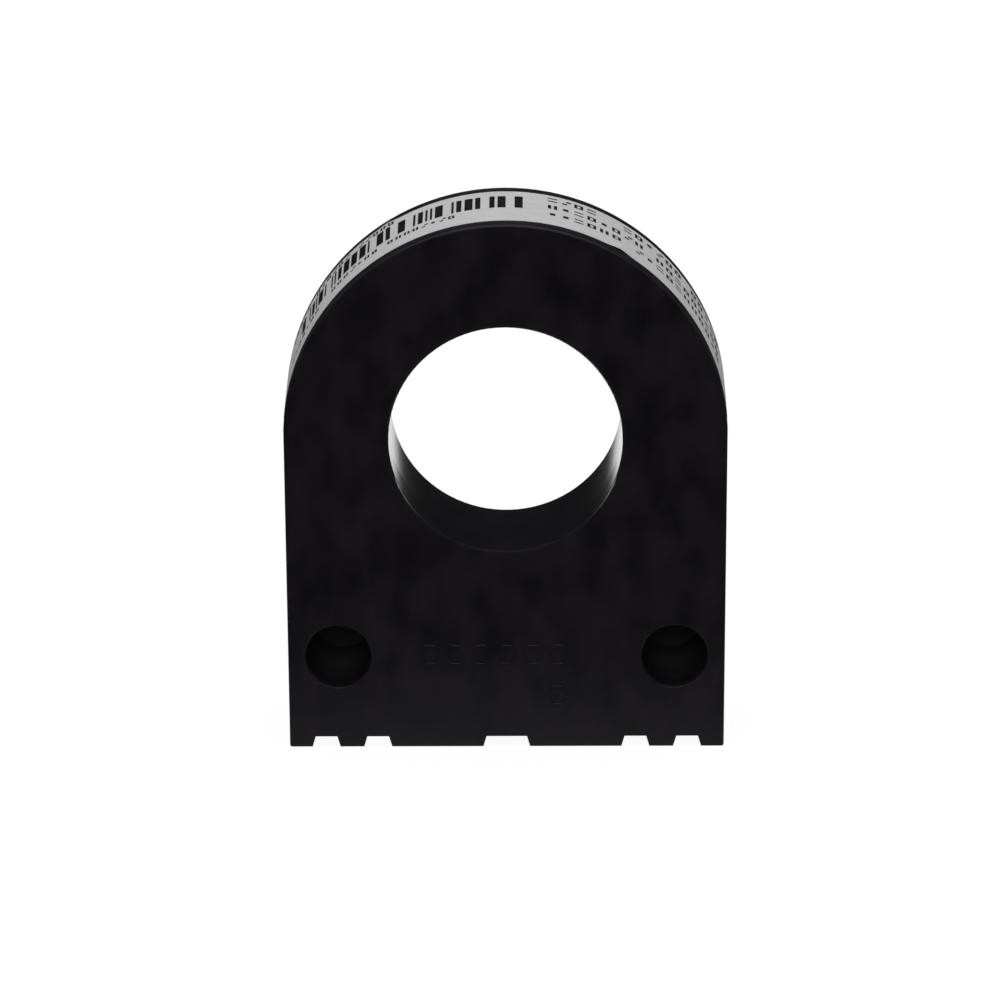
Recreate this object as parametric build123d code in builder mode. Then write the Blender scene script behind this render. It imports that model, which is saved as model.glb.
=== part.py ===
from build123d import *
import os
from math import cos, radians, sin, tan

# Window-type current transformer: a moulded round-topped case, open at the back, holds a
# ring core with its winding, and is filled with casting resin. X is across the case, Y runs
# back along the window axis and Z is up. The origin is on the base, under the middle.

# Case. Its round top is drafted, so it widens to the back over the parallel sides.
case_width = 84.4
case_depth = 26.0
top_over_side = 0.05
draft = 1.28
front_wall = 2.5
side_wall = 2.5
base_wall = 4.5
front_edge_radius = 0.45
rim_edge_radius = 0.25
foot_corner_radius = 0.45

# Window through the case, parallel behind the front face and then drafted to the back
window_to_side = 20.0
window_land = 8.0
window_wall = 2.2
tube_draft = 0.5
window_edge_radius = 0.4

# Mounting holes, each a deep recess from the front over a small clearance hole
hole_from_side = 9.7
hole_height = 18.8
recess_radius = 6.35
hole_seat = 3.5
screw_hole_radius = 2.25
hole_tube_wall = 1.6
hole_web = 1.6
hole_gusset = 11.0
recess_edge_radius = 0.35

# Relief grooves under the base, one in the middle and two towards each side. The flank's
# angle is measured from the base.
middle_groove_mouth = 9.16
side_groove_mouth = 5.52
outer_groove_from_side = 7.15
inner_groove_from_side = 17.2
groove_height = 2.25
groove_flank_angle = 73.5

# Terminal bay in the lower back of the case
bay_width = 30.0
bay_height = 20.0
bay_depth = 10.0
bay_wall = 2.0
bay_to_ring = 1.65
bay_barrier = 2.0
bay_corner_radius = 1.0

# Ribs that hold the ring off the front wall and centre it on the window tube
pad_height = 1.0
pad_width = 3.0
pad_count = 8
crush_rib_width = 1.4
crush_rib_count = 8
crush_rib_clearance = 0.1

# Ring core and what is wound round it
ring_to_tube = 0.95
ring_to_case = 0.75
tape_thickness = 0.3
winding_inside = 2.2
winding_outside = 1.5
winding_ends = 1.8
winding_gap = 4.0
cap_wall = 0.8
core_clearance = 0.05
ring_corner_radius = 2.0
cap_corner_radius = 0.5

# Resin fill
resin_below_rim = 1.1
resin_over_ring = 3.4

# Terminals
insert_radius = 3.4
insert_proud = 0.5
insert_body = 5.0
insert_groove_depth = 0.6
insert_groove_width = 1.2
insert_clearance = 0.02
tail_width = 2.2
tail_height = 1.2
tail_end = 1.2
screw_radius = 2.0
screw_length = 5.0
screw_head_radius = 3.8
screw_head_height = 2.6
screw_head_rounding = 0.9
screw_slot_width = 1.1
screw_slot_depth = 1.2
thread_clearance = 0.05
bore_bottom = 0.8
washer_side = 8.4
washer_thickness = 1.0
washer_corner_radius = 0.6
washer_clearance = 0.2

# Winding ends, in sleeves where they pass through the tape
lead_radius = 0.8
lead_offset = 2.4
lead_bend_radius = 2.2
sleeve_wall = 0.3
sleeve_length = 2.2
sleeve_clearance = 0.03
sleeve_root = 0.1

# Label wrapped over the round top
label_front = 3.06
label_width = 20.0
label_end_height = 3.4
label_thickness = 0.15
label_clearance = 0.03

# Derived places along the window axis
front_y = -case_depth / 2
rear_y = case_depth / 2
inner_y = front_y + front_wall
resin_y = rear_y - resin_below_rim
bay_floor_y = rear_y - bay_depth
bay_inner_y = bay_floor_y - bay_wall
ring_front_y = inner_y + pad_height
ring_rear_y = resin_y - resin_over_ring
ring_mid_y = (ring_front_y + ring_rear_y) / 2

# Derived radii about the window axis
slope = tan(radians(draft))
half_width = case_width / 2
case_radius = half_width + top_over_side
window_radius = case_radius - window_to_side
window_rear_radius = window_radius + (case_depth - window_land) * slope
tube_radius = window_radius + window_wall
tube_rear_radius = tube_radius - (rear_y - inner_y) * tan(radians(tube_draft))
tape_inner = tube_radius + ring_to_tube
cavity_half_width = half_width - side_wall
cavity_radius = case_radius + front_wall * slope - side_wall
tape_outer = cavity_half_width - ring_to_case
winding_inner = tape_inner + tape_thickness
winding_outer = tape_outer - tape_thickness
cap_inner = winding_inner + winding_inside
cap_outer = winding_outer - winding_outside
core_inner = cap_inner + cap_wall
core_outer = cap_outer - cap_wall

# The window axis stands where the ring clears the terminal bay
axis_height = bay_height + bay_wall + bay_to_ring + tape_outer

# Derived lengths of the ring's layers along the axis
tape_length = ring_rear_y - ring_front_y
winding_length = tape_length - 2 * tape_thickness
cap_length = winding_length - 2 * winding_ends
core_length = cap_length - 2 * cap_wall

# Derived places across the base
hole_spacing = case_width - 2 * hole_from_side
gusset_length = hole_from_side - side_wall / 2
side_grooves = (
    case_width - 2 * inner_groove_from_side,
    case_width - 2 * outer_groove_from_side,
)

# Derived heights and places of the terminals
terminal_x = (bay_barrier + bay_width) / 4
terminal_z = bay_height / 2
lead_y = (inner_y + bay_inner_y) / 2
insert_face_y = bay_floor_y + insert_proud
insert_end_y = bay_floor_y - insert_body
washer_y = insert_face_y + washer_thickness
winding_bottom = axis_height - winding_outer

window_axis = Axis((0, 0, axis_height), (0, 1, 0))


def cross_plane(y):
    """Plane across the window axis at a depth, facing the front, its x along X and its y along Z."""
    return Plane(origin=(0, y, 0), x_dir=(1, 0, 0), z_dir=(0, -1, 0))


def rear_plane(y):
    """Plane across the window axis at a depth, facing the back, its x along -X and its y along Z."""
    return Plane(origin=(0, y, 0), x_dir=(-1, 0, 0), z_dir=(0, 1, 0))


def section_plane(angle):
    """Half plane through the window axis, its x along the axis and its y outwards.
    The angle in degrees is measured from the top towards +X."""
    turn = radians(angle)
    return Plane(
        origin=(0, 0, axis_height), x_dir=(0, 1, 0), z_dir=(cos(turn), 0, -sin(turn))
    )


def turned(*points):
    """Solid of revolution about the window axis from points of (depth, radius)."""
    with BuildPart() as shape:
        with BuildSketch(section_plane(0)):
            with BuildLine():
                Polyline(*points, close=True)
            make_face()
        revolve(axis=window_axis)
    return shape.part


def arched_block(half_span, front_radius, front, rear, foot):
    """Block with parallel sides and a round top that widens to the back by the draft."""
    rear_radius = front_radius + (rear - front) * slope
    with BuildPart() as block:
        with BuildSketch(section_plane(-90)):
            with BuildLine():
                Polyline(
                    (front, 0),
                    (front, front_radius),
                    (rear, rear_radius),
                    (rear, 0),
                    close=True,
                )
            make_face()
        revolve(axis=window_axis, revolution_arc=180)
        with BuildSketch(cross_plane(front)):
            Rectangle(
                2 * half_span, axis_height + rear_radius, align=(Align.CENTER, Align.MIN)
            )
        extrude(amount=front - rear, mode=Mode.INTERSECT)
        with BuildSketch(cross_plane(front)):
            with Locations((0, foot)):
                Rectangle(2 * half_span, axis_height - foot, align=(Align.CENTER, Align.MIN))
        extrude(amount=front - rear)
    return block.part


def ring_layer(inner, outer, length, corner):
    """Solid ring about the window axis with a rounded section, centred on the core."""
    with BuildPart() as ring:
        with BuildSketch(section_plane(0)):
            with Locations((ring_mid_y, (inner + outer) / 2)):
                RectangleRounded(length, outer - inner, corner)
        revolve(axis=window_axis)
    return ring.part


def groove_section(mouth):
    """Section of a base groove, widest at its mouth on the base."""
    return Trapezoid(
        mouth, groove_height, groove_flank_angle, align=(Align.CENTER, Align.MIN)
    )


def round_edges(shape, y, radius):
    """Round edges of a shape at a depth and of a radius."""
    flat = shape.edges().filter_by(GeomType.CIRCLE).filter_by_position(Axis.Y, y - 0.01, y + 0.01)
    return flat.filter_by(lambda edge: abs(edge.radius - radius) < 0.01)


envelope = arched_block(half_width, case_radius, front_y, rear_y, 0)
cavity = arched_block(cavity_half_width, cavity_radius, inner_y, rear_y, base_wall)

tape_envelope = ring_layer(tape_inner, tape_outer, tape_length, ring_corner_radius)
winding_envelope = ring_layer(
    winding_inner, winding_outer, winding_length, ring_corner_radius - tape_thickness
)
cap_envelope = ring_layer(cap_inner, cap_outer, cap_length, cap_corner_radius)

# What stands inside the case, without its openings: window tube, hole tubes on webs,
# terminal bay, and the ribs that seat the ring
with BuildPart() as inner_forms:
    add(
        turned(
            (inner_y, 0),
            (inner_y, tube_radius),
            (rear_y, tube_rear_radius),
            (rear_y, 0),
        )
    )
    with BuildSketch(cross_plane(inner_y)):
        with Locations((0, hole_height)):
            with GridLocations(hole_spacing, 0, 2, 1):
                Circle(recess_radius + hole_tube_wall)
    extrude(amount=inner_y - rear_y)
    with BuildSketch(cross_plane(inner_y)):
        with Locations((0, hole_height / 2)):
            with GridLocations(hole_spacing, 0, 2, 1):
                Rectangle(hole_web, hole_height)
    extrude(amount=inner_y - resin_y + resin_over_ring)
    with BuildSketch(cross_plane(inner_y)):
        with Locations((0, hole_height)):
            with GridLocations(hole_spacing + gusset_length, 0, 2, 1):
                Rectangle(gusset_length, hole_gusset)
    extrude(amount=inner_y - rear_y)
    with BuildSketch(cross_plane(bay_inner_y)):
        Rectangle(
            bay_width + 2 * bay_wall,
            bay_height + bay_wall,
            align=(Align.CENTER, Align.MIN),
        )
    extrude(amount=bay_inner_y - rear_y)
    with BuildSketch(cross_plane(inner_y)):
        with Locations((0, axis_height)):
            with PolarLocations((window_radius + core_outer) / 2, pad_count, 180 / pad_count):
                Rectangle(core_outer - window_radius, pad_width)
    extrude(amount=-pad_height)
    with BuildSketch(cross_plane(inner_y)):
        with Locations((0, axis_height)):
            rib_reach = tape_inner - crush_rib_clearance
            with PolarLocations(rib_reach / 2, crush_rib_count):
                Rectangle(rib_reach, crush_rib_width)
    extrude(amount=inner_y - ring_rear_y)

# Moulded case
with BuildPart() as housing:
    add(envelope)
    front_edges = housing.faces().sort_by(Axis.Y)[0].edges().sort_by(Axis.Z)[1:]
    fillet(front_edges, front_edge_radius)
    rim_edges = housing.faces().sort_by(Axis.Y)[-1].edges().sort_by(Axis.Z)[1:]
    fillet(rim_edges, rim_edge_radius)
    foot_edges = (
        housing.faces().sort_by(Axis.Z)[0].edges().filter_by(lambda e: abs(e.center().Y) < front_wall)
    )
    fillet(foot_edges, foot_corner_radius)
    add(cavity, mode=Mode.SUBTRACT)
    add(inner_forms.part)
    add(
        turned(
            (front_y, 0),
            (front_y, window_radius),
            (front_y + window_land, window_radius),
            (rear_y, window_rear_radius),
            (rear_y, 0),
        ),
        mode=Mode.SUBTRACT,
    )
    with Locations(cross_plane(front_y)):
        with Locations((0, hole_height)):
            with GridLocations(hole_spacing, 0, 2, 1):
                CounterBoreHole(
                    screw_hole_radius, recess_radius, case_depth - hole_seat, case_depth
                )
    # Two pockets of the bay, open at the back and at the foot
    pocket_width = (bay_width - bay_barrier) / 2
    with BuildSketch(cross_plane(bay_floor_y)) as pockets:
        with GridLocations(2 * terminal_x, 0, 2, 1):
            Rectangle(
                pocket_width, bay_height, align=(Align.CENTER, Align.MIN)
            )
        fillet(pockets.vertices().group_by(Axis.Y)[-1], bay_corner_radius)
    extrude(amount=-bay_depth, mode=Mode.SUBTRACT)
    with BuildSketch(cross_plane(bay_inner_y)):
        with Locations((0, terminal_z)):
            with GridLocations(2 * terminal_x, 0, 2, 1):
                Circle(insert_radius + insert_clearance)
    extrude(amount=-bay_wall, mode=Mode.SUBTRACT)
    # Grooves under the base, from front to back
    with BuildSketch(cross_plane(front_y)):
        groove_section(middle_groove_mouth)
        for groove_spacing in side_grooves:
            with GridLocations(groove_spacing, 0, 2, 1):
                groove_section(side_groove_mouth)
    extrude(amount=-case_depth, mode=Mode.SUBTRACT)
    fillet(round_edges(housing, front_y, window_radius), window_edge_radius)
    fillet(round_edges(housing, rear_y, window_rear_radius), rim_edge_radius)
    fillet(round_edges(housing, front_y, recess_radius), recess_edge_radius)
housing.part.label = "housing"

# Ring core wound from steel strip
with BuildPart() as core:
    add(
        turned(
            (ring_mid_y - core_length / 2, core_inner),
            (ring_mid_y - core_length / 2, core_outer),
            (ring_mid_y + core_length / 2, core_outer),
            (ring_mid_y + core_length / 2, core_inner),
        )
    )
core.part.label = "core"

# Two insulating caps of U section that meet round the middle of the core
with BuildPart() as core_caps:
    add(cap_envelope)
    add(
        ring_layer(
            core_inner - core_clearance,
            core_outer + core_clearance,
            core_length + 2 * core_clearance,
            core_clearance,
        ),
        mode=Mode.SUBTRACT,
    )
core_cap_front = split(core_caps.part, bisect_by=cross_plane(ring_mid_y), keep=Keep.TOP)
core_cap_front.label = "core_cap_front"
core_cap_rear = split(core_caps.part, bisect_by=cross_plane(ring_mid_y), keep=Keep.BOTTOM)
core_cap_rear.label = "core_cap_rear"

# Copper winding round the core and its caps, with a gap at the foot between its two ends
with BuildPart() as secondary_winding:
    add(winding_envelope)
    add(cap_envelope, mode=Mode.SUBTRACT)
    gap_half = winding_gap / 2
    with BuildSketch(section_plane(180 - gap_half)):
        with Locations((ring_mid_y, case_radius / 2)):
            Rectangle(case_depth, case_radius)
    revolve(axis=window_axis, revolution_arc=winding_gap, mode=Mode.SUBTRACT)
secondary_winding.part.label = "secondary_winding"

# Places of the two winding ends under the ring, and of the terminals in the bay
lead_top = winding_bottom - sleeve_clearance
sleeve_top = winding_bottom - sleeve_root
sleeve_radius = lead_radius + sleeve_clearance + sleeve_wall
sleeve_plane = Plane.XY.offset(sleeve_top)
sleeve_hole_depth = 3 * tape_thickness

# Insulating tape over the winding, with a hole for each winding end
with BuildPart() as winding_tape:
    add(tape_envelope)
    add(winding_envelope, mode=Mode.SUBTRACT)
    with BuildSketch(Plane.XY.offset(winding_bottom + tape_thickness)):
        with Locations((0, lead_y)):
            with GridLocations(2 * lead_offset, 0, 2, 1):
                Circle(sleeve_radius + sleeve_clearance)
    extrude(amount=-sleeve_hole_depth, mode=Mode.SUBTRACT)
winding_tape.part.label = "winding_tape"

# Brass terminal inserts, each with a thread for its screw and a flat tail for its lead
with BuildPart() as insert_blank:
    groove_y = (bay_inner_y + insert_end_y) / 2
    with BuildSketch(cross_plane(insert_face_y)):
        with Locations((terminal_x, terminal_z)):
            Circle(insert_radius)
    extrude(amount=insert_face_y - insert_end_y)
    with BuildSketch(cross_plane(groove_y + insert_groove_width / 2)):
        with Locations((terminal_x, terminal_z)):
            Circle(insert_radius)
            Circle(insert_radius - insert_groove_depth, mode=Mode.SUBTRACT)
    extrude(amount=insert_groove_width, mode=Mode.SUBTRACT)
    with BuildSketch(cross_plane(insert_end_y)):
        with Locations((terminal_x, terminal_z)):
            Rectangle(tail_width, tail_height)
    extrude(amount=insert_end_y - lead_y + tail_end)

with BuildPart() as terminal_insert_right:
    add(insert_blank.part)
    with Locations(rear_plane(insert_face_y)):
        with Locations((-terminal_x, terminal_z)):
            Hole(screw_radius + thread_clearance, insert_face_y - insert_end_y - bore_bottom)
terminal_insert_right.part.label = "terminal_insert_right"
terminal_insert_left = mirror(terminal_insert_right.part, about=Plane.YZ, mode=Mode.PRIVATE)
terminal_insert_left.label = "terminal_insert_left"

# Square clamp washers under the screw heads
with BuildPart() as clamp_washers:
    with BuildSketch(cross_plane(washer_y)) as washer_faces:
        with Locations((0, terminal_z)):
            with GridLocations(2 * terminal_x, 0, 2, 1):
                Rectangle(washer_side, washer_side)
        fillet(washer_faces.vertices(), washer_corner_radius)
        with Locations((0, terminal_z)):
            with GridLocations(2 * terminal_x, 0, 2, 1):
                Circle(screw_radius + washer_clearance, mode=Mode.SUBTRACT)
    extrude(amount=washer_thickness)
clamp_washers.part.label = "clamp_washers"

# Slotted pan-head terminal screws
with BuildPart() as terminal_screws:
    with BuildSketch(cross_plane(washer_y)):
        with Locations((0, terminal_z)):
            with GridLocations(2 * terminal_x, 0, 2, 1):
                Circle(screw_head_radius)
    extrude(amount=-screw_head_height)
    head_rims = terminal_screws.edges().group_by(Axis.Y)[-1]
    fillet(head_rims, screw_head_rounding)
    with BuildSketch(cross_plane(washer_y)):
        with Locations((0, terminal_z)):
            with GridLocations(2 * terminal_x, 0, 2, 1):
                Circle(screw_radius)
    extrude(amount=screw_length)
    with BuildSketch(rear_plane(washer_y + screw_head_height)):
        with Locations((0, terminal_z)):
            with GridLocations(2 * terminal_x, 0, 2, 1):
                Rectangle(2 * screw_head_radius, screw_slot_width)
    extrude(amount=-screw_slot_depth, mode=Mode.SUBTRACT)
terminal_screws.part.label = "terminal_screws"

# Winding ends, down from the ring and across to the terminal tails
tail_top = terminal_z + tail_height / 2
drop = (lead_top - tail_top) / 4
with BuildPart() as lead_blank:
    with BuildLine() as route:
        FilletPolyline(
            (lead_offset, lead_y, lead_top),
            (lead_offset, lead_y, lead_top - drop),
            (terminal_x, lead_y, tail_top + drop),
            (terminal_x, lead_y, tail_top),
            radius=lead_bend_radius,
        )
    with BuildSketch(Plane.XY.offset(tail_top)):
        with Locations((terminal_x, lead_y)):
            Circle(lead_radius)
    sweep(path=route.wires()[0])
start_lead = lead_blank.part
start_lead.label = "start_lead"
finish_lead = mirror(lead_blank.part, about=Plane.YZ, mode=Mode.PRIVATE)
finish_lead.label = "finish_lead"

with BuildPart() as sleeve_blank:
    with BuildSketch(sleeve_plane):
        with Locations((lead_offset, lead_y)):
            Circle(sleeve_radius)
    extrude(amount=-sleeve_length)
with BuildPart() as lead_sleeve_start:
    add(sleeve_blank.part)
    with BuildSketch(sleeve_plane):
        with Locations((lead_offset, lead_y)):
            Circle(lead_radius + sleeve_clearance)
    extrude(amount=-sleeve_length, mode=Mode.SUBTRACT)
lead_sleeve_start.part.label = "lead_sleeve_start"
lead_sleeve_finish = mirror(lead_sleeve_start.part, about=Plane.YZ, mode=Mode.PRIVATE)
lead_sleeve_finish.label = "lead_sleeve_finish"

# Casting resin that fills the case round everything else, to a level below the rim
with BuildPart() as potting:
    add(cavity)
    split(bisect_by=rear_plane(resin_y), keep=Keep.BOTTOM)
    add(inner_forms.part, mode=Mode.SUBTRACT)
    add(tape_envelope, mode=Mode.SUBTRACT)
    for side in (lead_blank.part, sleeve_blank.part, insert_blank.part):
        add(side, mode=Mode.SUBTRACT)
        add(mirror(side, about=Plane.YZ, mode=Mode.PRIVATE), mode=Mode.SUBTRACT)
potting.part.label = "potting"

# Label round the top of the case, down to just above the window axis
label_start = front_y + label_front
label_end = label_start + label_width
under_label = case_radius + label_front * slope + label_clearance
with BuildPart() as label:
    add(
        arched_block(
            half_width + label_clearance + label_thickness,
            under_label + label_thickness,
            label_start,
            label_end,
            axis_height - label_end_height,
        )
    )
    add(
        arched_block(half_width + label_clearance, under_label, label_start, label_end, 0),
        mode=Mode.SUBTRACT,
    )
    split(bisect_by=Plane.XY.offset(axis_height + label_end_height), keep=Keep.TOP)
label.part.label = "label"

pieces = (
    housing.part,
    core.part,
    core_cap_front,
    core_cap_rear,
    secondary_winding.part,
    winding_tape.part,
    start_lead,
    finish_lead,
    lead_sleeve_start.part,
    lead_sleeve_finish,
    terminal_insert_left,
    terminal_insert_right.part,
    clamp_washers.part,
    terminal_screws.part,
    potting.part,
    label.part,
)
os.makedirs("parts", exist_ok=True)
for piece in pieces:
    export_step(piece, f"parts/{piece.label}.step")
    print(piece.label, round(piece.volume, 1), len(piece.solids()), piece.is_valid)
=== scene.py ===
# %% [markdown]
# # A window-type current transformer
# A primary conductor passes through the round window of this part, and a ring core inside the
# black case turns its current into a small one for a relay or meter. The case is moulded, filled
# with resin from the back, and labelled over its round top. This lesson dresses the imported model:
# it leaves the moulded solids as they are, gives each one a finish, and models by hand what a
# solid model leaves plain, which is the printed label, the poured resin and the raised marks.

# %% Load the frame
import math
import random

import bpy
from mathutils import Matrix, Vector


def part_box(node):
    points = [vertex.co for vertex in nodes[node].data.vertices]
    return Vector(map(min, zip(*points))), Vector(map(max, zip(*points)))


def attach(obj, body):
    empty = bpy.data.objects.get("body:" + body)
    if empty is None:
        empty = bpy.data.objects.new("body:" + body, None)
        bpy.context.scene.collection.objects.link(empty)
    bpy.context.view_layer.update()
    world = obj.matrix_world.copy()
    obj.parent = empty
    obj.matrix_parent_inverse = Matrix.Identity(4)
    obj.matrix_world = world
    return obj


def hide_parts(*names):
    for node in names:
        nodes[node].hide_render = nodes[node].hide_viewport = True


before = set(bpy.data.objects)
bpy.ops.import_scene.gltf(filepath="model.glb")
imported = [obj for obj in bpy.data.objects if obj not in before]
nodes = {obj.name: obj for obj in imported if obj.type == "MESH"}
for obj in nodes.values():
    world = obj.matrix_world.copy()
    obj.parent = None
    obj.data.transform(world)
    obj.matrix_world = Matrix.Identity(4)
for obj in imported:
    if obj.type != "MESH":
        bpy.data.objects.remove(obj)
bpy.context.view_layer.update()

# %% [markdown]
# ## The sizes that the pieces share
# All lengths are in metres, so small sizes are written as millimetres times MM. The label and the
# marks sit on the case, so they need the case's own numbers: the front face, the height of the
# window's axis, the parallel sides, and the round top's radius, which grows to the back by the
# mould's draft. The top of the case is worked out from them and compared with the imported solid.

# %% Sizes of the case
MM = 0.001
case_low, case_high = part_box("housing")
FRONT_Y = case_low.y
AXIS_Z = 62.6 * MM
FRONT_RADIUS = 42.25 * MM
SIDE_X = 42.2 * MM
DRAFT = math.tan(math.radians(1.28))


def case_radius(depth):
    """Radius of the round top at a depth behind the front face."""
    return FRONT_RADIUS + depth * DRAFT


top_by_hand = AXIS_Z + case_radius(case_high.y - case_low.y)
print("top of the case, by hand and packed:", round(top_by_hand, 5), round(case_high.z, 5))

# %% [markdown]
# ## The camera
# The photograph looks down on the front by a little under nineteen degrees, from less than a
# metre away with a long lens. A camera can be aimed with a constraint, but a matrix keeps the
# last tenth of a degree: first a roll about the line of sight, then the tilt, then the turn.

# %% Camera at the photograph's angle
LENS = 153.137
SENSOR_WIDTH = 36.0
CAMERA_PLACE = (0.00442, -0.78159, 0.311)
LOOK_DOWN = 18.7090
LOOK_LEFT = 0.4108
ROLL = -0.2820
camera_data = bpy.data.cameras.new("studio_camera")
camera_data.lens = LENS
camera_data.sensor_width = SENSOR_WIDTH
camera = bpy.data.objects.new("studio_camera", camera_data)
bpy.context.scene.collection.objects.link(camera)
turn = Matrix.Rotation(math.radians(LOOK_LEFT), 4, "Z")
tilt = Matrix.Rotation(math.radians(90 - LOOK_DOWN), 4, "X")
roll = Matrix.Rotation(math.radians(ROLL), 4, "Z")
camera.matrix_world = Matrix.Translation(CAMERA_PLACE) @ turn @ tilt @ roll
bpy.context.scene.camera = camera
print("camera looks down by", round(LOOK_DOWN, 1), "degrees")

# %% [markdown]
# ## The studio
# The part stands on a large round white table. A photographer keeps the room above such a table
# dim, and that keeps black plastic black: a glossy surface is as bright as what it reflects. The
# table is a disc that is inset twice, so that the light falls on a few rings of faces, and its
# outer edge is turned down as on a real table top.


# %% Helpers for modelling by hand
def start_piece():
    """Leave edit mode and select nothing, so that an operator touches only what comes next."""
    if bpy.context.object and bpy.context.object.mode == "EDIT":
        bpy.ops.object.mode_set(mode="OBJECT")
    bpy.ops.object.select_all(action="DESELECT")


def pick(mode, test):
    """Select the active piece's parts that pass a test, and go back to edit mode."""
    bpy.ops.mesh.select_mode(type=mode)
    bpy.ops.mesh.select_all(action="DESELECT")
    bpy.ops.object.mode_set(mode="OBJECT")
    mesh = bpy.context.object.data
    parts = {"VERT": mesh.vertices, "EDGE": mesh.edges, "FACE": mesh.polygons}[mode]
    for part in parts:
        part.select = bool(test(part, mesh))
    bpy.ops.object.mode_set(mode="EDIT")


def finish_piece(piece, smooth_angle=None):
    """Back to object mode, with smooth shading where faces meet at less than an angle."""
    bpy.ops.object.mode_set(mode="OBJECT")
    start_piece()
    piece.select_set(True)
    bpy.context.view_layer.objects.active = piece
    if smooth_angle:
        bpy.ops.object.shade_smooth_by_angle(angle=math.radians(smooth_angle))
    print(piece.name, "has", len(piece.data.polygons), "faces")


# %% Round white table
TABLE_RADIUS = 3.0
TABLE_EDGE = 0.02
TABLE_RING = 1.5
EDGE_DROP = 0.03
start_piece()
bpy.ops.mesh.primitive_circle_add(vertices=96, radius=TABLE_RADIUS, fill_type="NGON")
table = bpy.context.object
table.name = "white_table"
bpy.ops.object.mode_set(mode="EDIT")
bpy.ops.mesh.inset(thickness=TABLE_EDGE)
bpy.ops.mesh.inset(thickness=TABLE_RING)
pick("VERT", lambda v, mesh: v.co.xy.length > TABLE_RADIUS - TABLE_EDGE / 2)
bpy.ops.transform.translate(value=(0, 0, -EDGE_DROP))
finish_piece(table, 60)

# %% [markdown]
# ## Finishes from nodes
# A finish is built from the same few steps: a noise pattern read from the object's own
# coordinates, a step that spreads it between two values, a step that turns it into colour, and
# one that turns it into relief. Named helpers keep each material short. Object coordinates are
# in metres here, so a noise scale of 1000 has features about a millimetre across.


# %% Helpers for finishes
def new_finish(name):
    """A new material, its node tree and its shader."""
    finish = bpy.data.materials.new(name)
    finish.use_nodes = True
    return finish, finish.node_tree, finish.node_tree.nodes["Principled BSDF"]


def place_in_piece(tree):
    """Where a point lies in the piece, in metres."""
    return tree.nodes.new("ShaderNodeTexCoord").outputs["Object"]


def noise(tree, scale, detail=2.0, stretch=(1, 1, 1)):
    """A noise pattern, stretched along the axes."""
    mapping = tree.nodes.new("ShaderNodeMapping")
    mapping.inputs["Scale"].default_value = stretch
    texture = tree.nodes.new("ShaderNodeTexNoise")
    texture.inputs["Scale"].default_value = scale
    texture.inputs["Detail"].default_value = detail
    tree.links.new(place_in_piece(tree), mapping.inputs["Vector"])
    tree.links.new(mapping.outputs["Vector"], texture.inputs["Vector"])
    return texture.outputs["Fac"]


def spread(tree, pattern, low, high, start=0.3, end=0.7):
    """Spread a pattern between two values."""
    step = tree.nodes.new("ShaderNodeMapRange")
    limits = {"From Min": start, "From Max": end, "To Min": low, "To Max": high}
    for name, value in limits.items():
        step.inputs[name].default_value = value
    tree.links.new(pattern, step.inputs["Value"])
    return step.outputs["Result"]


def tint(tree, pattern, dark, light):
    """Colour a pattern from dark to light."""
    ramp = tree.nodes.new("ShaderNodeValToRGB")
    ramp.color_ramp.elements[0].color = (*dark, 1)
    ramp.color_ramp.elements[1].color = (*light, 1)
    ramp.color_ramp.elements[0].position = 0.3
    ramp.color_ramp.elements[1].position = 0.7
    tree.links.new(pattern, ramp.inputs["Fac"])
    return ramp.outputs["Color"]


def combine(tree, operation, first, second):
    """One value from two, each a pattern or a number."""
    step = tree.nodes.new("ShaderNodeMath")
    step.operation = operation
    for socket, value in zip(step.inputs, (first, second)):
        if isinstance(value, (int, float)):
            socket.default_value = value
        else:
            tree.links.new(value, socket)
    return step.outputs[0]


def relief(tree, pattern, depth, under=None):
    """Surface relief of a depth in metres, over another relief."""
    bump = tree.nodes.new("ShaderNodeBump")
    bump.inputs["Distance"].default_value = depth
    tree.links.new(pattern, bump.inputs["Height"])
    if under:
        tree.links.new(under, bump.inputs["Normal"])
    return bump.outputs["Normal"]


def paint(piece, finish):
    """Give a piece one finish all over."""
    piece.data.materials.clear()
    piece.data.materials.append(finish)


# %% [markdown]
# ## White table finish
# The table has to look white to the camera and in reflections, and still carry the part's soft
# shadow. Light alone would need lamps so strong that the label would burn out. So the table is
# mostly a plain white glow for camera, glossy and transmitted rays, and a pale matte surface for
# the rest, which is the part that darkens under the object. Far out, where no shadow falls, the
# glow is all of it, so the horizon is white too. In the photograph only the ends of
# the window's wall mirror white, so there the lit sheet under the part was small: reflections
# see the glow near the part, and a dim table further out.

# %% Table that glows for the camera
GLOW = 1.05
GLOW_SHARE = 0.9
SHADOW_ENDS, HORIZON_STARTS = 0.3, 0.8
PALE = (0.82, 0.82, 0.82)
DIM = (0.03, 0.03, 0.03)
SHEET_MIDDLE = 0.1
SHEET_INNER, SHEET_OUTER = 0.085, 0.165
table_white = bpy.data.materials.new("table_white")
table_white.use_nodes = True
tree = table_white.node_tree
tree.nodes.clear()

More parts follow.
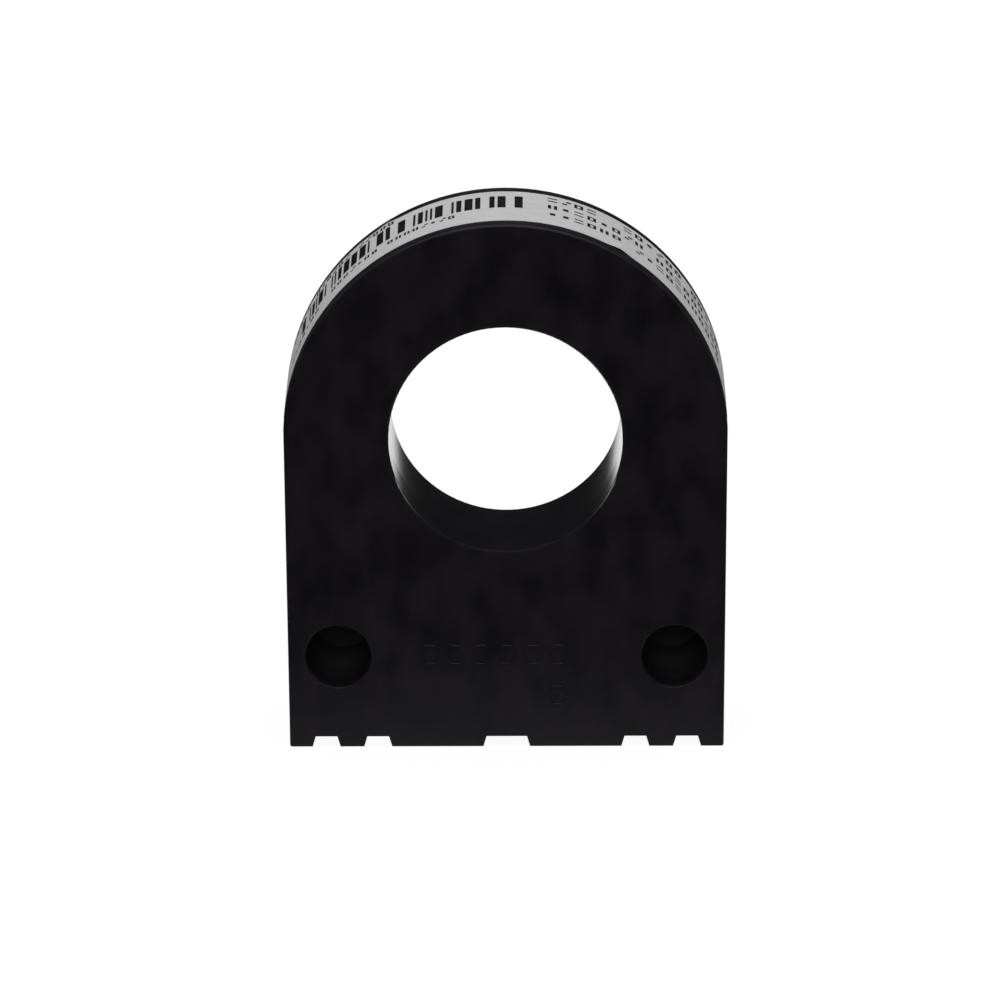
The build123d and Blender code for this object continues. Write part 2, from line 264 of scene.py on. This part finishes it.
shift = tree.nodes.new("ShaderNodeMapping")
shift.inputs["Location"].default_value = (0, -SHEET_MIDDLE, 0)
tree.links.new(place_in_piece(tree), shift.inputs["Vector"])
distance = tree.nodes.new("ShaderNodeVectorMath")
distance.operation = "LENGTH"
tree.links.new(shift.outputs["Vector"], distance.inputs[0])
beyond = spread(tree, distance.outputs["Value"], 0, 1, SHEET_INNER, SHEET_OUTER)
path = tree.nodes.new("ShaderNodeLightPath")
dimmed = combine(tree, "MULTIPLY", path.outputs["Is Glossy Ray"], beyond)
seen = combine(tree, "MAXIMUM", path.outputs["Is Camera Ray"], path.outputs["Is Glossy Ray"])
seen = combine(tree, "MAXIMUM", seen, path.outputs["Is Transmission Ray"])
seen = combine(tree, "SUBTRACT", seen, dimmed)

matte = tree.nodes.new("ShaderNodeBsdfDiffuse")
tree.links.new(tint(tree, dimmed, PALE, DIM), matte.inputs["Color"])
glow = tree.nodes.new("ShaderNodeEmission")
glow.inputs["Color"].default_value = (1, 1, 1, 1)
glow.inputs["Strength"].default_value = GLOW
mixed = tree.nodes.new("ShaderNodeMixShader")
output = tree.nodes.new("ShaderNodeOutputMaterial")
share = spread(tree, distance.outputs["Value"], GLOW_SHARE, 1, SHADOW_ENDS, HORIZON_STARTS)
tree.links.new(combine(tree, "MULTIPLY", seen, share), mixed.inputs["Fac"])
tree.links.new(matte.outputs["BSDF"], mixed.inputs[1])
tree.links.new(glow.outputs["Emission"], mixed.inputs[2])
tree.links.new(mixed.outputs["Shader"], output.inputs["Surface"])
paint(table, table_white)

# %% [markdown]
# ## Light
# The label is evenly lit all round its arch, so the light is soft and comes from every side: a
# large lamp above, one at each side, and one high up in front and behind. A lamp's power is
# spread over its area, so the helper takes the radiance that a mirror would show and works the
# power out. The room is dim for the object and white for the camera, so that views from low
# down have the same white behind the part as views from above.


# %% Soft studio lamps and a dim room
def softbox(name, place, side, radiance):
    """A square lamp of a side, aimed at the middle of the part."""
    data = bpy.data.lights.new(name, "AREA")
    data.size = side
    data.energy = radiance * math.pi * side * side
    lamp = bpy.data.objects.new(name, data)
    bpy.context.scene.collection.objects.link(lamp)
    lamp.location = place
    aim = Vector((0, 0, AXIS_Z)) - lamp.location
    lamp.rotation_euler = aim.to_track_quat("-Z", "Y").to_euler()


ROOM_TONE = (0.014, 0.014, 0.015, 1)
softbox("lamp_above", (0, -0.1, 1.6), 2.0, 2.1)
softbox("lamp_left", (-1.8, 0, 0.9), 1.2, 1.1)
softbox("lamp_right", (1.8, 0, 0.9), 1.2, 1.1)
softbox("lamp_front", (0, -1.9, 1.3), 1.0, 2.0)
softbox("lamp_behind", (0, 1.1, 1.8), 1.0, 0.9)

room = bpy.data.worlds.new("dim_room")
room.use_nodes = True
tree = room.node_tree
dim = tree.nodes["Background"]
dim.inputs["Color"].default_value = ROOM_TONE
backdrop = tree.nodes.new("ShaderNodeBackground")
backdrop.inputs["Color"].default_value = (1, 1, 1, 1)
path = tree.nodes.new("ShaderNodeLightPath")
camera_ray, through_glass = path.outputs["Is Camera Ray"], path.outputs["Is Transmission Ray"]
seen = combine(tree, "MAXIMUM", camera_ray, through_glass)
mixed = tree.nodes.new("ShaderNodeMixShader")
tree.links.new(seen, mixed.inputs["Fac"])
tree.links.new(dim.outputs["Background"], mixed.inputs[1])
tree.links.new(backdrop.outputs["Background"], mixed.inputs[2])
tree.links.new(mixed.outputs["Shader"], tree.nodes["World Output"].inputs["Surface"])
bpy.context.scene.world = room
bpy.context.scene.view_settings.view_transform = "Standard"

# %% [markdown]
# ## Black moulded case
# The case is a glass-filled thermoplastic with a fine spark-eroded texture, so it is nearly
# black with a weak, wide gloss. Inside the window the mould's core was polished, and its tool
# marks left fine rings that show where the wall is seen at a low angle. A painted highlight, a
# light grey in the colour, lies on the front edge of the window, low at both sides. The walls of
# the two deep recesses are painted a lighter grey, more and more towards their floors. One
# material covers it all: each of these is switched on by a mask that is worked out from the
# place on the case, so the masks need the window's radius and the places of the recesses.

# %% Places of the masks on the case
WINDOW_REACH = 22.9 * MM
RECESS_X = 32.5 * MM
RECESS_Z = 18.8 * MM
RECESS_REACH = 6.6 * MM
RECESS_DEPTH = 22.5 * MM
# Depths over which the walls of the recesses turn a lighter grey.
GREY_FROM, GREY_TO = 3.5 * MM, 17 * MM
FLOOR_FROM, FLOOR_TO = RECESS_DEPTH - 1 * MM, RECESS_DEPTH - 0.2 * MM
BEHIND_FLOOR = RECESS_DEPTH + 1 * MM
RIM_BELOW, RIM_ABOVE = 0.34 * MM, 0.03 * MM
RIM_LOW_Z, RIM_HIGH_Z = AXIS_Z - 17 * MM, AXIS_Z - 12 * MM
# Where the painted highlight lies on the window's front edge: its reach, depth and height.
EDGE_REACH = 22.45 * MM
EDGE_FROM, EDGE_TO = 0.1 * MM, 0.35 * MM
HIGHLIGHT_STARTS, HIGHLIGHT_FULL = AXIS_Z - 17 * MM, AXIS_Z - 9 * MM
HIGHLIGHT_FADES, HIGHLIGHT_ENDS = AXIS_Z - 9 * MM, AXIS_Z - 7 * MM
print("recess axes at", RECESS_X, "either side and", RECESS_Z, "up")


# %% Distance from an axis
def reach_from(tree, across, up, mirrored=False):
    """Distance from an axis through the case from front to back."""
    place = place_in_piece(tree)
    if mirrored:
        fold = tree.nodes.new("ShaderNodeVectorMath")
        fold.operation = "ABSOLUTE"
        tree.links.new(place, fold.inputs[0])
        place = fold.outputs["Vector"]
    flat = tree.nodes.new("ShaderNodeVectorMath")
    flat.operation = "MULTIPLY_ADD"
    flat.inputs[1].default_value = (1, 0, 1)
    flat.inputs[2].default_value = (-across, 0, -up)
    tree.links.new(place, flat.inputs[0])
    length = tree.nodes.new("ShaderNodeVectorMath")
    length.operation = "LENGTH"
    tree.links.new(flat.outputs["Vector"], length.inputs[0])
    return length.outputs["Value"]


# %% Masks on the case
case_black, tree, shader = new_finish("case_black")
split = tree.nodes.new("ShaderNodeSeparateXYZ")
tree.links.new(place_in_piece(tree), split.inputs["Vector"])
depth_in = combine(tree, "SUBTRACT", split.outputs["Y"], FRONT_Y)
from_window = reach_from(tree, 0, AXIS_Z)
in_window = combine(tree, "LESS_THAN", from_window, WINDOW_REACH)
from_recess = reach_from(tree, RECESS_X, RECESS_Z, mirrored=True)
in_recess = combine(tree, "LESS_THAN", from_recess, RECESS_REACH)
# The recess walls are painted a lighter grey, more and more towards their floors.
recess_ramp = spread(tree, depth_in, 0, 0.57, GREY_FROM, GREY_TO)
more_on_floor = spread(tree, depth_in, 1, 1.1, FLOOR_FROM, FLOOR_TO)
recess_grey = combine(tree, "MULTIPLY", combine(tree, "MULTIPLY", recess_ramp, more_on_floor), in_recess)
before_back = combine(tree, "LESS_THAN", depth_in, BEHIND_FLOOR)
recess_grey = combine(tree, "MULTIPLY", recess_grey, before_back)
rim = spread(tree, split.outputs["Z"], RIM_BELOW, RIM_ABOVE, RIM_LOW_Z, RIM_HIGH_Z)
on_wall = combine(tree, "MULTIPLY", in_window, combine(tree, "GREATER_THAN", depth_in, rim))
# Painted highlight: a mask along the window's front edge, low at both sides.
edge = spread(tree, depth_in, 1, 0, EDGE_FROM, EDGE_TO)
edge = combine(tree, "MULTIPLY", edge, combine(tree, "LESS_THAN", from_window, EDGE_REACH))
low_side = spread(tree, split.outputs["Z"], 0, 1, HIGHLIGHT_STARTS, HIGHLIGHT_FULL)
low_side = combine(tree, "POWER", low_side, 2)
high_side = spread(tree, split.outputs["Z"], 1, 0, HIGHLIGHT_FADES, HIGHLIGHT_ENDS)
painted_highlight = combine(tree, "MULTIPLY", edge, combine(tree, "MULTIPLY", low_side, high_side))
print("masks need", len(tree.nodes), "nodes")

# %% [markdown]
# The tone drifts in small soft clouds, a little drawn out upwards like flow marks from the
# mould's gate. The masks then lift the tone in the recesses, paint a grey highlight on the
# front edge of the window, and give the window's wall a polished coat, which the rings break
# up. The rounded rim of the window is kept rougher, or all of it would show as a bright line.

# %% Case finish
DARK_CASE = (0.0050, 0.0036, 0.0055)
LIGHT_CASE = (0.0124, 0.0097, 0.0132)
# The lighter grey of the recess walls.
RECESS_GREY = (0.2, 0.185, 0.2)
# The grey of the painted highlight on the window's front edge.
HIGHLIGHT_GREY = (0.5, 0.48, 0.5)
GRAIN_DEPTH = 0.012 * MM
RING_DEPTH = 0.001 * MM
clouds = noise(tree, 1, 5, stretch=(170, 170, 105))
grain = noise(tree, 1900, 3)
rings = noise(tree, 1, 4, stretch=(30, 2400, 30))
base = tint(tree, clouds, DARK_CASE, LIGHT_CASE)
greyed = tree.nodes.new("ShaderNodeMix")
greyed.data_type = "RGBA"
greyed.inputs["B"].default_value = (*RECESS_GREY, 1)
tree.links.new(recess_grey, greyed.inputs["Factor"])
tree.links.new(base, greyed.inputs["A"])
# Painted highlight: a light grey in the base colour on the window's front edge, in patches.
highlighted = tree.nodes.new("ShaderNodeMix")
highlighted.data_type = "RGBA"
highlighted.inputs["B"].default_value = (*HIGHLIGHT_GREY, 1)
highlight_patches = spread(tree, noise(tree, 700, 2), 0.35, 1)
tree.links.new(combine(tree, "MULTIPLY", painted_highlight, highlight_patches), highlighted.inputs["Factor"])
tree.links.new(greyed.outputs["Result"], highlighted.inputs["A"])
tree.links.new(highlighted.outputs["Result"], shader.inputs["Base Color"])

satin = spread(tree, clouds, 0.41, 0.51)
polish = combine(tree, "MULTIPLY", on_wall, spread(tree, rings, 0.22, 0.28))
dull_rim = combine(tree, "MULTIPLY", combine(tree, "SUBTRACT", in_window, on_wall), 0.3)
satin = combine(tree, "ADD", satin, dull_rim)
tree.links.new(combine(tree, "SUBTRACT", satin, polish), shader.inputs["Roughness"])
shader.inputs["Specular IOR Level"].default_value = 0.2
tree.links.new(on_wall, shader.inputs["Coat Weight"])
shader.inputs["Coat Roughness"].default_value = 0.18
outside_window = combine(tree, "SUBTRACT", 1, in_window)
texture = relief(tree, combine(tree, "MULTIPLY", grain, outside_window), GRAIN_DEPTH)
ring_marks = combine(tree, "MULTIPLY", rings, in_window)
ring_relief = relief(tree, ring_marks, RING_DEPTH, texture)
tree.links.new(ring_relief, shader.inputs["Normal"])
tree.links.new(ring_relief, shader.inputs["Coat Normal"])
paint(nodes["housing"], case_black)
print("case finish on", nodes["housing"].name)

# %% [markdown]
# ## Wrapping flat artwork round the case
# The label is a strip of film, printed flat and then laid over the arch. It can be modelled the
# same way: film and print are made flat, with x along the strip from its middle, y as the depth
# behind the front face, and z as the height over the case. Then one rule wraps every point. A
# film bends but doesn't stretch, so a length along the strip becomes an angle. Real film goes on
# by hand and isn't perfect: there is a step at either shoulder, where the strip was laid down
# again a little further back, and each step has a small tent that shifts the printing.

# %% Sizes of the label
LABEL_FRONT = 3.06 * MM
LABEL_WIDTH = 19.8 * MM
LABEL_HALF_ANGLE = math.radians(85.4)
WRAP_RADIUS = case_radius(LABEL_FRONT + LABEL_WIDTH / 2)
LABEL_LENGTH = 2 * LABEL_HALF_ANGLE * WRAP_RADIUS
FILM = 0.06 * MM
CELL = 0.42 * MM
HAIR = 0.01 * MM
RIGHT_TENT = 22.8 * MM
LEFT_TENT = 23.4 * MM
print("label strip:", round(1000 * LABEL_LENGTH, 1), "mm long")


# %% Steps and tents in the film
def smooth_step(value, start, end):
    """Rise from 0 at a start to 1 at an end, with a soft foot and shoulder."""
    share = min(1.0, max(0.0, (value - start) / (end - start)))
    return share * share * (3 - 2 * share)


def bell(value, width):
    """A soft bump of height 1 and a half width."""
    return math.exp(-((value / width) ** 2))


def slip(along, depth):
    """How far the film has slipped to the back, at a place on the strip."""
    front_share = 1 - smooth_step(depth, LABEL_FRONT, LABEL_FRONT + 16 * MM)
    left = 0.25 * MM * smooth_step(-along, 22.6 * MM, 24.2 * MM)
    right = 0.22 * MM * smooth_step(along, 1 * MM, 8 * MM)
    return left * (1 - front_share) + right * front_share


def lift(along, depth):
    """How far the film stands off the case, at a place on the strip."""
    front_share = 1 - smooth_step(depth, LABEL_FRONT, LABEL_FRONT + 11 * MM)
    rear_share = smooth_step(depth, LABEL_FRONT + 8 * MM, LABEL_FRONT + LABEL_WIDTH)
    right = 0.3 * MM * bell(along - RIGHT_TENT, 1.7 * MM) * front_share
    left = 0.2 * MM * bell(along + LEFT_TENT, 1.6 * MM) * rear_share
    return right + left


def wrap_round_case(piece):
    """Bend flat artwork over the arch of the case and down on its sides."""
    for vertex in piece.data.vertices:
        along, depth, height = vertex.co
        stand_off = HAIR + lift(along, depth) + height
        radius = case_radius(depth) + stand_off
        angle = along / WRAP_RADIUS
        side = min(abs(radius * math.sin(angle)), SIDE_X + stand_off)
        vertex.co = (
            math.copysign(side, along),
            FRONT_Y + depth + slip(along, depth),
            AXIS_Z + radius * math.cos(angle),
        )
    piece.data.update()


# %% [markdown]
# ## Label film
# A grid is scaled to the strip's size. Its corners are cut round by a vertex bevel, as a die
# cuts labels, and a Solidify modifier gives the film its thickness after it is wrapped.

# %% Label film
CORNER_CUT = 0.38 * MM
start_piece()
columns = round(LABEL_LENGTH / CELL)
rows = round(LABEL_WIDTH / (2 * CELL))
bpy.ops.mesh.primitive_grid_add(x_subdivisions=columns, y_subdivisions=rows, size=1)
film = bpy.context.object
film.name = "label_strip"
bpy.ops.object.mode_set(mode="EDIT")
bpy.ops.transform.resize(value=(LABEL_LENGTH, LABEL_WIDTH, 1))
bpy.ops.transform.translate(value=(0, LABEL_FRONT + LABEL_WIDTH / 2, FILM))
corner_x = LABEL_LENGTH / 2 - CELL / 4
corner_y = LABEL_WIDTH / 2 - CELL / 4
middle_y = LABEL_FRONT + LABEL_WIDTH / 2
pick("VERT", lambda v, mesh: abs(v.co.x) > corner_x and abs(v.co.y - middle_y) > corner_y)
bpy.ops.mesh.bevel(offset=CORNER_CUT, segments=3, affect="VERTICES")
finish_piece(film)
wrap_round_case(film)
wall = film.modifiers.new("film", "SOLIDIFY")
wall.thickness = FILM
wall.offset = -1
bpy.ops.object.modifier_apply(modifier=wall.name)
finish_piece(film, 50)
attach(film, "root")
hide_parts("label")

# %% [markdown]
# ## Printing
# The printing is black and stands a hair over the film, so it stays sharp at any distance. Each
# stroke is a small grid laid flat in place. A bar code is drawn with bars and spaces of seeded
# random widths, which reads as a code and says nothing. Rows of plain signs go beside it, built
# from strokes: posts, frames, pairs, blocks and dots. All strokes are added in edit mode to one
# mesh, which is then wrapped like the film.

# %% One stroke
INK = 0.02 * MM
INK_CELL = 0.45 * MM
dice = random.Random(11)


def stroke(x, y, width, depth):
    """Add a black rectangle to the flat artwork, from its lower left corner."""
    across = max(1, round(width / INK_CELL))
    down = max(1, round(depth / (2 * INK_CELL)))
    bpy.ops.mesh.select_all(action="DESELECT")
    bpy.ops.mesh.primitive_grid_add(x_subdivisions=across, y_subdivisions=down, size=1)
    bpy.ops.transform.resize(value=(width, depth, 1))
    bpy.ops.transform.translate(value=(x + width / 2, y + depth / 2, FILM + INK))


# %% Signs and rows
def sign(x, y, width, depth, kind):
    """One plain sign of a few strokes in a cell."""
    pen = 0.2 * depth
    if kind == "posts":
        stroke(x, y, 1.3 * pen, depth)
        stroke(x + width - 1.3 * pen, y, 1.3 * pen, depth)
    elif kind == "frame":
        stroke(x, y, width, pen)
        stroke(x, y + depth - pen, width, pen)
        stroke(x, y + pen, 1.2 * pen, depth - 2 * pen)
        stroke(x + width - 1.2 * pen, y + pen, 1.2 * pen, depth - 2 * pen)
    elif kind == "dots":
        stroke(x + 0.1 * width, y, 2 * pen, 1.8 * pen)
        stroke(x + 0.55 * width, y + depth - 1.8 * pen, 2 * pen, 1.8 * pen)
    elif kind == "block":
        stroke(x + 0.2 * width, y + 0.2 * depth, 0.6 * width, 0.6 * depth)
    else:
        stroke(x, y, width, 1.2 * pen)
        stroke(x, y + depth - 1.2 * pen, width, 1.2 * pen)


KINDS = ("posts", "frame", "frame", "dots", "pair", "frame", "block")


def row_of_signs(start, end, y, depth, width, pitch, gaps=()):
    """A row of signs along the strip, with a blank at each place in gaps."""
    count = int((end - start) / pitch)
    for place in range(count):
        kind = dice.choice(KINDS)
        if place not in gaps:
            sign(start + place * pitch, y, width, depth, kind)


# %% Bar code and rows
CODE_LEFT, CODE_RIGHT = -52 * MM, 3.4 * MM
CODE_FRONT, CODE_HEIGHT = 11.8 * MM, 7.7 * MM
BAR_WIDTHS = (0.45, 1.0, 1.55, 1.55)
SPACE_WIDTHS = (0.5, 0.55, 0.6, 1.7)
SMALL_SIGN = (1.8 * MM, 1.2 * MM, 1.8 * MM)
LARGE_SIGN = (2.45 * MM, 1.8 * MM, 2.6 * MM)
start_piece()
bpy.ops.mesh.primitive_grid_add(x_subdivisions=1, y_subdivisions=1, size=1)
print_layer = bpy.context.object
print_layer.name = "label_printing"
bpy.ops.object.mode_set(mode="EDIT")
bpy.ops.mesh.delete(type="VERT")

x = CODE_RIGHT
while True:
    bar = dice.choice(BAR_WIDTHS) * MM
    if x - bar < CODE_LEFT:
        break
    stroke(x - bar, CODE_FRONT, bar, CODE_HEIGHT)
    x -= bar + dice.choice(SPACE_WIDTHS) * MM

row_of_signs(-54 * MM, -7.5 * MM, 8.4 * MM, *SMALL_SIGN, gaps=(7, 8, 16))
row_of_signs(-54 * MM, -21 * MM, 20.3 * MM, *SMALL_SIGN, gaps=(5, 12))
for y, gaps in ((8.9, (6,)), (13.8, (8,)), (18.7, (4, 5, 12))):
    row_of_signs(8.2 * MM, 56 * MM, y * MM, *LARGE_SIGN, gaps=gaps)
finish_piece(print_layer)
wrap_round_case(print_layer)
ink = print_layer.modifiers.new("ink", "SOLIDIFY")
ink.thickness = INK
ink.offset = -1
bpy.ops.object.modifier_apply(modifier=ink.name)
finish_piece(print_layer, 50)
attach(print_layer, "root")

# %% [markdown]
# ## Film and ink finishes
# The film is silver-grey polyester with a dull face: a mid grey with a faint fibre of lighter
# and darker threads along the strip, and a soft gloss. The ink is a thermal-transfer black and
# duller than the film.

# %% Film and ink
film_grey, tree, shader = new_finish("film_grey")
threads = noise(tree, 1, 3, stretch=(300, 1500, 300))
greys = tint(tree, threads, (0.527, 0.527, 0.537), (0.59, 0.59, 0.595))
tree.links.new(greys, shader.inputs["Base Color"])
tree.links.new(spread(tree, noise(tree, 260, 3), 0.42, 0.56), shader.inputs["Roughness"])
tree.links.new(relief(tree, noise(tree, 900, 2), 0.006 * MM), shader.inputs["Normal"])
shader.inputs["Specular IOR Level"].default_value = 0.3
paint(film, film_grey)

ink_black, tree, shader = new_finish("ink_black")
speckle = noise(tree, 2600, 2)
blacks = tint(tree, speckle, (0.006, 0.006, 0.006), (0.014, 0.013, 0.013))
tree.links.new(blacks, shader.inputs["Base Color"])
tree.links.new(spread(tree, speckle, 0.5, 0.62), shader.inputs["Roughness"])
shader.inputs["Specular IOR Level"].default_value = 0.06
paint(print_layer, ink_black)
print("film and ink done")

# %% [markdown]
# ## Raised marks on the front
# Low on the front stands a plain row of outlined hexagons, with one more under its end, in a
# relief so faint that it shows only by its edges. One hexagon is a six-sided disc: it is inset,
# its middle is deleted, and the outline is extruded in two steps with an inset between, so that
# its edges slope and catch the light from above. The rest are copies with their own mesh, joined
# into one piece.

# %% One hexagon
MARK_HEIGHT = 4.0 * MM
MARK_WIDTH = 4.0 * MM
MARK_LINE = 0.3 * MM
MARK_PROUD = 0.24 * MM
MARK_RADIUS = MARK_HEIGHT / math.sqrt(3)
start_piece()
bpy.ops.mesh.primitive_circle_add(vertices=6, radius=MARK_RADIUS, fill_type="NGON",
                                  rotation=(math.radians(90), math.radians(30), 0))
mark = bpy.context.object
bpy.ops.object.transform_apply(rotation=True)
bpy.ops.object.mode_set(mode="EDIT")
bpy.ops.transform.resize(value=(MARK_WIDTH / (2 * MARK_RADIUS), 1, 1))
bpy.ops.mesh.inset(thickness=MARK_LINE)
bpy.ops.mesh.delete(type="FACE")
bpy.ops.mesh.select_all(action="SELECT")
bpy.ops.mesh.extrude_region_move(TRANSFORM_OT_translate={"value": (0, -MARK_PROUD / 2, 0)})
bpy.ops.mesh.inset(thickness=MARK_LINE / 3, depth=0)
bpy.ops.transform.translate(value=(0, -MARK_PROUD / 2, 0))
bpy.ops.mesh.select_all(action="SELECT")
bpy.ops.mesh.normals_make_consistent(inside=False)
bpy.ops.object.mode_set(mode="OBJECT")
print("one mark has", len(mark.data.polygons), "faces")

# %% Copies along a row, and one under its end
ROW_START, ROW_PITCH, ROW_Z = -14.85 * MM, 4.98 * MM, 19.2 * MM
LAST_X, LAST_Z = 9.85 * MM, 10.8 * MM
places = [(ROW_START + ROW_PITCH * i, ROW_Z) for i in range(6)] + [(LAST_X, LAST_Z)]
marks = []
for x, z in places:
    copy = bpy.data.objects.new("mark", mark.data.copy())
    bpy.context.scene.collection.objects.link(copy)
    copy.data.transform(Matrix.Translation((x, FRONT_Y, z)))
    marks.append(copy)
bpy.data.objects.remove(mark)
start_piece()
for copy in marks:
    copy.select_set(True)
bpy.context.view_layer.objects.active = marks[0]
bpy.ops.object.join()
raised_marks = bpy.context.object
raised_marks.name = "raised_marks"
paint(raised_marks, case_black)
print("raised marks:", len(places))
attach(raised_marks, "root")

# %% [markdown]
# ## Poured resin
# The back of the case is filled with black epoxy. It was liquid, so its surface is level and
# glossy and creeps up every wall it touches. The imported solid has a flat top. A copy of it is
# merged, its top faces are pulled up by the height of that creep, and a few insets, each lower
# and wider than the last, bring the surface back down in a hollow curve.

# %% Resin with a meniscus
RESIN_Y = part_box("potting")[1].y
CREEP = 0.42 * MM
HOLLOW = ((0.10, 0.18), (0.16, 0.12), (0.24, 0.08), (0.34, 0.04))
start_piece()
resin = bpy.data.objects.new("cast_resin", nodes["potting"].data.copy())
bpy.context.scene.collection.objects.link(resin)
resin.select_set(True)
bpy.context.view_layer.objects.active = resin
bpy.ops.mesh.customdata_custom_splitnormals_clear()
bpy.ops.object.mode_set(mode="EDIT")
bpy.ops.mesh.select_all(action="SELECT")
bpy.ops.mesh.remove_doubles(threshold=0.001 * MM)
pick("FACE", lambda f, mesh: f.normal.y > 0.99 and f.center.y > RESIN_Y - 0.01 * MM)
bpy.ops.mesh.extrude_region_move(TRANSFORM_OT_translate={"value": (0, CREEP, 0)})
for width, drop in HOLLOW:
    bpy.ops.mesh.inset(thickness=width * MM, depth=-drop * MM)
finish_piece(resin, 40)
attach(resin, "root")
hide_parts("potting")

# %% Resin finish
resin_black, tree, shader = new_finish("resin_black")
ripple = noise(tree, 90, 2)
blacks = tint(tree, ripple, (0.006, 0.006, 0.007), (0.010, 0.010, 0.011))
tree.links.new(blacks, shader.inputs["Base Color"])
tree.links.new(spread(tree, noise(tree, 240, 3), 0.10, 0.2), shader.inputs["Roughness"])
tree.links.new(relief(tree, ripple, 0.09 * MM), shader.inputs["Normal"])
shader.inputs["Specular IOR Level"].default_value = 0.5
paint(resin, resin_black)

# %% [markdown]
# ## Metal at the terminals
# The screws and clamp washers are zinc-plated steel and the inserts are turned brass. Plating is
# bright but never even, so colour and roughness both drift, and fine scratches run across each
# part.


# %% Plated and turned metal
def metal_finish(name, dark, light, rough, gap):
    """A metal with drifting tone and fine scratches across the part."""
    finish, tree, shader = new_finish(name)
    drift = noise(tree, 350, 4)
    scratches = noise(tree, 1, 2, stretch=(6000, 500, 900))
    tree.links.new(tint(tree, drift, dark, light), shader.inputs["Base Color"])
    tree.links.new(spread(tree, scratches, rough, rough + gap), shader.inputs["Roughness"])
    tree.links.new(relief(tree, scratches, 0.003 * MM), shader.inputs["Normal"])
    shader.inputs["Metallic"].default_value = 1.0
    return finish


plated_steel = metal_finish("plated_steel", (0.52, 0.53, 0.55), (0.68, 0.68, 0.68), 0.24, 0.18)
turned_brass = metal_finish("turned_brass", (0.58, 0.38, 0.14), (0.72, 0.52, 0.22), 0.22, 0.16)
core_steel = metal_finish("core_steel", (0.36, 0.37, 0.39), (0.48, 0.48, 0.5), 0.3, 0.2)
copper_tones = (0.50, 0.16, 0.05), (0.66, 0.25, 0.09)
enamelled_copper = metal_finish("enamelled_copper", *copper_tones, 0.25, 0.15)
for name in ("clamp_washers", "terminal_screws"):
    paint(nodes[name], plated_steel)
for name in ("terminal_insert_left", "terminal_insert_right"):
    paint(nodes[name], turned_brass)
paint(nodes["core"], core_steel)
paint(nodes["secondary_winding"], enamelled_copper)
print("metal finishes done")

# %% [markdown]
# ## Insulation inside the case
# Nothing of the ring shows once the resin is in, but each piece still has the finish it has on
# the bench, so a cut-away or a repaint needs no new work: nylon caps, amber film tape, grey
# wire ends and green varnished sleeving.


# %% Insulation finishes
def insulation_finish(name, dark, light, rough, scale):
    """A plastic or varnish with a drifting tone."""
    finish, tree, shader = new_finish(name)
    drift = noise(tree, scale, 3)
    tree.links.new(tint(tree, drift, dark, light), shader.inputs["Base Color"])
    tree.links.new(spread(tree, drift, rough, rough + 0.12), shader.inputs["Roughness"])
    tree.links.new(relief(tree, drift, 0.01 * MM), shader.inputs["Normal"])
    return finish


inside = {
    "nylon": ((0.66, 0.65, 0.6), (0.78, 0.77, 0.72), 0.45, 400,
              ("core_cap_front", "core_cap_rear")),
    "film_tape": ((0.62, 0.46, 0.06), (0.78, 0.62, 0.12), 0.3, 250,
                  ("winding_tape",)),
    "wire_end": ((0.6, 0.6, 0.58), (0.72, 0.72, 0.7), 0.4, 900,
                 ("start_lead", "finish_lead")),
    "sleeving": ((0.03, 0.15, 0.04), (0.06, 0.24, 0.07), 0.35, 1200,
                 ("lead_sleeve_start", "lead_sleeve_finish")),
}
for name, (dark, light, rough, scale, pieces) in inside.items():
    finish = insulation_finish(name, dark, light, rough, scale)
    for piece in pieces:
        paint(nodes[piece], finish)
print("insulation finishes:", len(inside))
